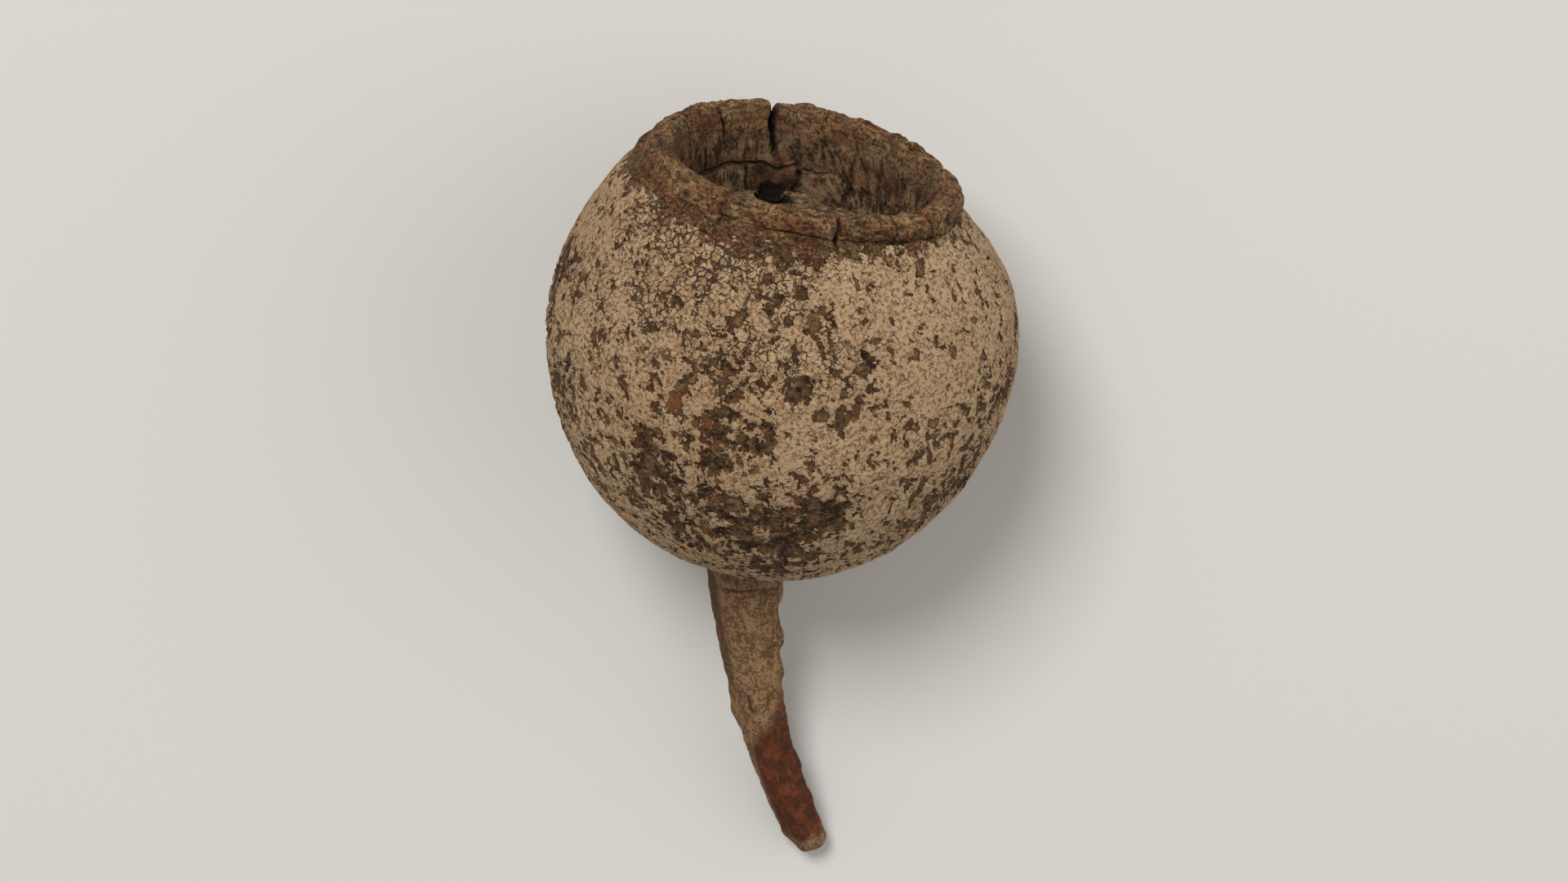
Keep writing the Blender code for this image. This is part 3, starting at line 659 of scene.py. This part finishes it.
def buildNut(nut, marks):
    # capsule and stalk joined into one closed mesh, tipped over by a turn and fitted to the solid's box
    capsule, capsuleFields, capsuleColumns = capsuleSurface(nut, marks)
    rootZ = outlineOf(nut)[-1][3]
    stalk, stalkFields, stalkColumns = stalkSurface(nut, marks, rootZ)
    columns = np.concatenate([capsuleColumns, stalkColumns])
    points = np.concatenate([capsule, stalk])
    points = np.vstack([points, points[: columns[0]].mean(axis=0), points[-columns[-1]:].mean(axis=0)])
    fields = {}
    for name in stalkFields:
        both = np.concatenate([capsuleFields[name], stalkFields[name]])
        fields[name] = np.concatenate([both, both[:1], both[-1:]])

    # tipped over backwards on to the table, with the flat spot pressed in
    raised = math.radians(nut["mouthRaisedDeg"])
    x, y, z = points.T
    laid = np.stack([x, math.cos(raised) * z + math.sin(raised) * y,
                     math.sin(raised) * z - math.cos(raised) * y + nut["centreHeight"]], axis=1)
    laid[:, 2] = np.maximum(laid[:, 2], 0)
    low, high = (np.array(corner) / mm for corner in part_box("gum_nut"))
    least, most = laid.min(axis=0), laid.max(axis=0)
    print("nut before it is fitted to its solid's box, mm", least.round(2), most.round(2))
    laid = low + (laid - least) * (high - low) / (most - least)

    quads, triangles = ringFaces(columns)
    mesh = bpy.data.meshes.new("gumNut")
    mesh.from_pydata((laid * mm).tolist(), [], quads.tolist() + triangles.tolist())
    mesh.polygons.foreach_set("use_smooth", np.ones(len(mesh.polygons), bool))
    layers = {name: np.stack([fields[part] for part in parts], axis=1) for name, parts in packs.items()}
    layers.update({name: fields[name] for name in ("uprightGrain", "roundGrain")})
    for name, values in layers.items():
        layer = mesh.attributes.new(name, "FLOAT_VECTOR", "POINT")
        layer.data.foreach_set("vector", values.astype(np.float32).ravel())
    print("nut triangles", 2 * len(quads) + len(triangles))
    piece = bpy.data.objects.new("gumNutWood", mesh)
    bpy.context.scene.collection.objects.link(piece)
    return piece


# materials

def linear(hexColour):
    # an sRGB hex value as linear light, with alpha 1
    parts = [int(hexColour[k:k + 2], 16) / 255 for k in (1, 3, 5)]
    return tuple(c / 12.92 if c <= 0.04045 else ((c + 0.055) / 1.055) ** 2.4 for c in parts) + (1.0,)


def addNode(tree, kind, inputs, output=0, **settings):
    # one node with its settings: an input is a value, a hex colour or another node's output; gives one output
    made = tree.nodes.new("ShaderNode" + kind)
    for name, value in settings.items():
        setattr(made, name, value)
    for name, value in inputs.items():
        if isinstance(value, bpy.types.NodeSocket):
            tree.links.new(value, made.inputs[name])
        else:
            made.inputs[name].default_value = linear(value) if isinstance(value, str) else value
    return made.outputs[output]


soft, straight = "SMOOTHSTEP", "LINEAR"  # how a pattern rises from one value to another

wood = {
    "skinLight": "#CFB68E", "skinPale": "#B69C7B", "skinWarm": "#AF9271", "skinSpeck": "#6F4B30",
    "bareLight": "#866544", "bareDark": "#5B432E", "bareRed": "#7A472A", "rim": "#22150C", "stainAndShade": "#25190F",
    "lipLight": "#AF865A", "lipGrey": "#A38B69", "lipRed": "#94643F", "lipDark": "#462E1C",
    "collarDark": "#352314", "rust": "#78472A",
    # the lining's tones are dark partly as the wood's own brown and partly as painted shade inside the cup
    "liningLight": "#84674A", "liningGrey": "#7A6E54", "liningRed": "#5E3F30", "liningDark": "#2E1F13",
    "liningStain": "#3A2015",
    "floorLight": "#9E8462", "floorDark": "#3B2A1B", "floorRed": "#4E2415",
    "stalkLight": "#A08260", "stalkDark": "#664A31", "stalkShade": "#4A321F",
    # the near-black tone lies in cracks, and as painted shade in the pit, the notch, over the middle block
    # and in the floor's hollows
    "gum": "#41180E", "gumBright": "#6C3018", "gumOlive": "#5E4528", "crack": "#0C0705",
    # noises: what each one follows, how coarse it is in mm, its detail and its roughness
    "noises": {
        "grain": ("place", 0.20, 2.0, 0.6), "stipple": ("place", 0.30, 3.0, 0.65),
        "freckle": ("place", 0.34, 3.0, 0.7), "mottle": ("place", 1.2, 5.0, 0.65),
        "drift": ("place", 6.0, 3.0, 0.5), "hairDrift": ("place", 5 / 3, 3.0, 0.5),
        "strands": ("upright", 0.30, 4.0, 0.6), "bands": ("rounded", 0.30, 4.0, 0.65),
        "chips": ("bent", 0.7, 3.0, 0.6),
    },
    "tintMm": 2.6,  # grey and red casts
    "bendMm": 5 / 6, "bendBy": 1.1,  # what bends the cells
    "cellMm": 0.62,  # the cells between hair cracks, and how far apart the dark dots are
    # how ragged the skin's edge is, from the stipple and from the chips: everywhere, and added in the stains
    "ragged": {"tooth": (0.36, 0.8), "chipped": (0.42, 0.95)},
    # what lies where: the patterns that it sums, each times a weight, the sums at which it sets in and is
    # full, how strong it is when full (1 if not given), and before it sets in (0 if not given)
    "covers": {
        "warm": ({"drift": 1}, (0.35, 0.65), straight),
        "freckles": ({"freckle": 1}, (0.47, 0.60, 0.85), soft),
        "brightGrain": ({"grain": 1}, (0.50, 0.72, 0.5), soft),
        "patches": ({"mottle": 1}, (0.40, 0.60), soft),
        "chipTone": ({"chips": 1}, (0.42, 0.58), soft),
        "dotSize": ({"mottle": 1}, (0.42, 0.66, 0.30), straight),
        "dots": ({"dotSize": 1, "dot": -1}, (-0.02, 0.08), soft),
        "hairWidth": ({"hairDrift": 1}, (0.46, 0.66, 0.05, -0.06), straight),
        "hairs": ({"hairWidth": 1, "net": 0.10, "hair": -1, "tooth": 0.26}, (-0.01, 0.03), soft),
        "brownCells": ({"cell": 1}, (0.35, 1.0, 0.55), straight),
        "skinGone": ({"edge": 1}, (-0.03, 0.04), soft),
        "brokenRim": ({"aside": 1}, (0.0, 0.09, 0.0, 0.60), soft),
        "darkness": ({"stainAndShade": 1, "mottled": 5.0, "tooth": 2.2}, (0.25, 1.3, 0.95), straight),
        "greyCast": ({"tint0": 1}, (0.50, 0.62, 0.7), soft),
        "redCast": ({"tint1": 1}, (0.50, 0.62, 0.7), soft),
        "lipTone": ({"mottle": 0.9, "bands": 0.8}, (0.69, 0.97), soft),
        "belowLip": ({"collar": 1}, (2.4, 0.9, 0.54), straight),
        "lipStipple": ({"stipple": 1}, (0.46, 0.62, 0.8), soft),
        "lipGrain": ({"grain": 1}, (0.56, 0.74, 0.55), soft),
        "lipCracks": ({"hair": 1}, (0.07, 0.0, 0.8), straight),
        "skinless": ({"collar": 1, "mottled": 3.2, "celled": 0.8}, (-0.12, 0.18), soft),
        "fibres": ({"strands": 1}, (0.35, 0.65, 1.05, 0.25), straight),
        "streaks": ({"fibres": 1, "patches": -0.55, "tooth": -1.2}, (0, 1), straight),
        "crumbTone": ({"chipTone": 0.5, "tooth": 1.2, "patches": 0.55}, (0, 1), straight),
        "redCracks": ({"hair": 1}, (0.08, 0.01), soft),
        "stalkTone": ({"strands": 0.45, "tooth": 0.8, "mottle": 0.8}, (0.50, 0.80), soft),
        "gumTone": ({"mottle": 1, "chips": 0.4}, (0.64, 0.86), soft),
        "oliveStreaks": ({"strands": 1}, (0.56, 0.66, 0.7), soft),
        "soaked": ({"rust": 1, "tooth": 1.6, "mottled": 1.6}, (0.0, 1.1, 0.92), soft),
    },
    # every surface is a first tone with coats over it: where each lies, its tone, and what thins it, if any
    "coats": {
        "fineTone": ("bareDark", ("net", "rim")),
        "paleSkin": ("skinPale", ("warm", "skinWarm"), ("freckles", "skinSpeck"),
                     ("brightGrain", "skinLight"), ("brownCells", "bareLight", "net"),
                     ("stainAndShade", "bareLight", 0.42), ("fine", "fineTone", 0.85)),
        "bareWood": ("bareLight", ("chipTone", "bareDark"), ("rust", "bareRed", 0.8), ("brokenRim", "rim"),
                     ("darkness", "stainAndShade")),
        "lipCast": ("lipLight", ("greyCast", "lipGrey"), ("redCast", "lipRed")),
        "bareLip": ("lipDark", ("lipTone", "lipCast"), ("stainAndShade", "collarDark", 0.45),
                    ("belowLip", "collarDark"), ("rust", "rust", 0.55), ("lipStipple", "rim"),
                    ("lipGrain", "skinWarm"), ("lipCracks", "rim", "patches")),
        "liningCast": ("liningLight", ("greyCast", "liningGrey"), ("redCast", "liningRed")),
        "lining": ("liningDark", ("streaks", "liningCast"), ("rust", "rust", 0.25),
                   ("stainAndShade", "liningStain", 0.45)),
        "crumbs": ("floorLight", ("crumbTone", "floorDark"), ("redCracks", "floorRed", "rust"),
                   ("rust", "floorRed", 0.35)),
        "driedGum": ("gum", ("gumTone", "gumBright"), ("oliveStreaks", "gumOlive")),
        "bareStalk": ("stalkDark", ("stalkTone", "stalkLight"), ("fine", "bareDark", 0.6),
                      ("stainAndShade", "stalkShade", 0.7), ("soaked", "driedGum")),
        "whole": ("paleSkin", ("skinGone", "bareWood"), ("skinless", "bareLip"), ("cup", "lining"),
                  ("floor", "crumbs"), ("stalk", "bareStalk"), ("crack", "crack", 0.96)),
    },
    # how high each pattern stands in mm, in the fine tooth
    "tooth": {"skinGone": -0.13, "stipple": 0.16, "fine": -0.07, "chips": 0.10},
    "settings": {"Roughness": 0.85, "IOR": 1.45, "Specular IOR Level": 0.2, "Metallic": 0.0},
}


def weatheredWood(w):
    # dry eucalypt wood, weathered outdoors: a thin pale skin that has flaked off brown wood in chips,
    # a darker bare lip, a fibrous brown lining darkened partly as painted shade inside the cup, and a stalk
    # stained with red gum and painted with shade down its left side. Near black lies in cracks and as painted
    # shade in the pit, the notch and the floor's hollows. It is matt all over.
    material = bpy.data.materials.new("weatheredGumNutWood")
    material.use_nodes = True
    tree = material.node_tree
    shader = tree.nodes["Principled BSDF"]
    add = lambda kind, inputs, output=0, **settings: addNode(tree, kind, inputs, output, **settings)
    timesPlus = {"operation": "MULTIPLY_ADD"}  # the first times the second, plus the third

    # what the noises follow: the place in mm, the grains along the wood, and a place bent by noise
    place = add("VectorMath", {0: add("TexCoord", {}, "Object"), "Scale": 1 / mm}, operation="SCALE")
    *fields, upright, rounded = (add("Attribute", {}, "Vector", attribute_name=name)
                                 for name in (*packs, "uprightGrain", "roundGrain"))
    bending, tinting = (add("TexNoise", {"Vector": place, "Scale": 1 / size, "Detail": 3.0}, "Color")
                        for size in (w["bendMm"], w["tintMm"]))
    bent = add("VectorMath", {0: bending, 1: (w["bendBy"],) * 3, 2: place}, **timesPlus)
    follows = {"place": place, "upright": upright, "rounded": rounded, "bent": bent}

    # every pattern by its name, first the nine marks that the mesh carries
    patterns = {}
    for field, names in zip(fields, packs.values()):
        for k, name in enumerate(names):
            patterns[name] = add("SeparateXYZ", {0: field}, k)
    for name, (what, size, detail, rough) in w["noises"].items():
        patterns[name] = add("TexNoise", {"Vector": follows[what], "Scale": 1 / size, "Detail": detail,
                                          "Roughness": rough})
    cells = {"Vector": bent, "Scale": 1 / w["cellMm"]}
    patterns["dot"] = add("TexVoronoi", cells, "Distance")
    patterns["cell"] = add("SeparateXYZ", {0: add("TexVoronoi", cells, "Color")})
    patterns["hair"] = add("TexVoronoi", cells, feature="DISTANCE_TO_EDGE")
    for k in range(2):
        patterns[f"tint{k}"] = add("SeparateXYZ", {0: tinting}, k)
    centred = {"tooth": "stipple", "chipped": "chips", "mottled": "mottle", "celled": "cell"}
    for name, source in centred.items():
        patterns[name] = add("Math", {0: patterns[source], 1: 0.5}, operation="SUBTRACT")

    # the skin's broken edge, and how far a place is from it
    edge = patterns["bare"]
    for name, (base, inStains) in w["ragged"].items():
        depth = add("Math", {0: patterns["stainAndShade"], 1: inStains, 2: base}, **timesPlus)
        edge = add("Math", {0: patterns[name], 1: depth, 2: edge}, **timesPlus)
    patterns["edge"] = edge
    aside = add("Math", {0: edge, 1: 0.05}, operation="SUBTRACT")
    patterns["aside"] = add("Math", {0: aside}, operation="ABSOLUTE")

    ends = ("From Min", "From Max", "To Max", "To Min")
    for name, (parts, span, rise) in w["covers"].items():
        total = 0.0
        for part, weight in parts.items():
            total = add("Math", {0: patterns[part], 1: weight, 2: total}, **timesPlus)
        patterns[name] = add("MapRange", {"Value": total, **dict(zip(ends, span))}, interpolation_type=rise)
    patterns["fine"] = add("Math", {0: patterns["dots"], 1: patterns["hairs"]}, operation="MAXIMUM")

    tones = dict(w)
    for name, (first, *layers) in w["coats"].items():
        tone = tones[first]
        for cover, over, *thinning in layers:
            share = patterns[cover]
            for by in thinning:
                share = add("Math", {0: share, 1: patterns.get(by, by)}, operation="MULTIPLY")
            tone = add("Mix", {0: share, 6: tone, 7: tones[over]}, 2, data_type="RGBA")
        tones[name] = tone
    tree.links.new(tones["whole"], shader.inputs["Base Color"])

    # the fine tooth: stipple, cracks and chips a few hundredths of a millimetre deep, and the skin's edges
    height = 0.0
    for name, high in w["tooth"].items():
        height = add("Math", {0: patterns[name], 1: high, 2: height}, **timesPlus)
    normal = add("Bump", {"Height": height, "Distance": mm, "Strength": 1.0}, "Normal")
    tree.links.new(normal, shader.inputs["Normal"])
    for name, value in w["settings"].items():
        shader.inputs[name].default_value = value
    return material


piece = buildNut(nut, marks)
piece.data.materials.append(weatheredWood(wood))
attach(piece, "root")
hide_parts("gum_nut")
print("nut made")


# table, light and camera

studio = {
    "floor": "#D8D6D2", "floorSize": 3.0, "floorSunk": 0.00002, "floorRoughness": 0.9,
    "key": {"place": (-0.26, 0.36, 0.79), "size": 0.35, "watts": 5.0},
    "fill": {"place": (0.6, 0.1, 0.5), "size": 0.9, "watts": 1.6},
    "sky": "#F2EEE8", "skyStrength": 0.40,
}


def placed(place, right, up, back):
    # where an object stands, with its own axes as the three columns of its turn
    return Matrix.Translation(place.tolist()) @ Matrix(np.column_stack([right, up, back]).tolist()).to_4x4()


def buildStudio(s):
    # a flat pale table, two soft lamps and an even sky
    half = s["floorSize"] / 2
    mesh = bpy.data.meshes.new("paleTable")
    corners = [(x, y, -s["floorSunk"]) for x in (-half, half) for y in (-half, half)]
    mesh.from_pydata(corners, [], [(0, 2, 3, 1)])
    table = bpy.data.objects.new("paleTable", mesh)
    bpy.context.scene.collection.objects.link(table)
    material = bpy.data.materials.new("mattPaintedBoard")  # matt emulsion paint, with no gloss to speak of
    material.use_nodes = True
    shader = material.node_tree.nodes["Principled BSDF"]
    shader.inputs["Base Color"].default_value = linear(s["floor"])
    shader.inputs["Roughness"].default_value = s["floorRoughness"]
    mesh.materials.append(material)

    for name in ("key", "fill"):
        lamp = bpy.data.lights.new(name + "Lamp", "AREA")
        lamp.shape = "DISK"
        lamp.size = s[name]["size"]
        lamp.energy = s[name]["watts"]
        holder = bpy.data.objects.new(name + "Lamp", lamp)
        place = np.array(s[name]["place"])
        back = place / np.linalg.norm(place)
        right = np.cross([0, 0, 1], back)
        right /= np.linalg.norm(right)
        holder.matrix_world = placed(place, right, np.cross(back, right), back)
        bpy.context.scene.collection.objects.link(holder)

    world = bpy.data.worlds.new("evenSky")
    world.use_nodes = True
    world.node_tree.nodes["Background"].inputs["Color"].default_value = linear(s["sky"])
    world.node_tree.nodes["Background"].inputs["Strength"].default_value = s["skyStrength"]
    bpy.context.scene.world = world


buildStudio(studio)

view = {
    "lens": 85.0, "sensor": 36.0, "distance": 0.299, "clipStart": 0.01,
    "leanDeg": 7.5,  # how far from straight down, towards the mouth
    "rollDeg": 8.2,  # the nut leans to the right in the picture
    "frameSize": (1920, 1080), "globeInFrame": (957, 405),
}


def buildCamera(c):
    # looks down on the globe, which sits at a given pixel of the frame
    lean, roll = math.radians(c["leanDeg"]), math.radians(c["rollDeg"])
    back = np.array([0, math.sin(lean), math.cos(lean)])
    level = np.array([0, math.cos(lean), -math.sin(lean)])
    across = np.array([1, 0, 0])
    right = math.cos(roll) * across + math.sin(roll) * level
    up = math.cos(roll) * level - math.sin(roll) * across
    (wide, tall), (globeX, globeY) = c["frameSize"], c["globeInFrame"]
    pixels = c["lens"] / c["sensor"] * wide
    x, y = (globeX - wide / 2) / pixels, (tall / 2 - globeY) / pixels
    globe = np.array([0, 0, nut["centreHeight"] * mm])
    camera = bpy.data.cameras.new("camera")
    camera.lens = c["lens"]
    camera.sensor_width = c["sensor"]
    camera.clip_start = c["clipStart"]
    holder = bpy.data.objects.new("camera", camera)
    holder.matrix_world = placed(globe + c["distance"] * (back - x * right - y * up), right, up, back)
    bpy.context.scene.collection.objects.link(holder)
    bpy.context.scene.camera = holder


buildCamera(view)
bpy.context.scene.view_settings.view_transform = "Standard"
print("studio and camera made")
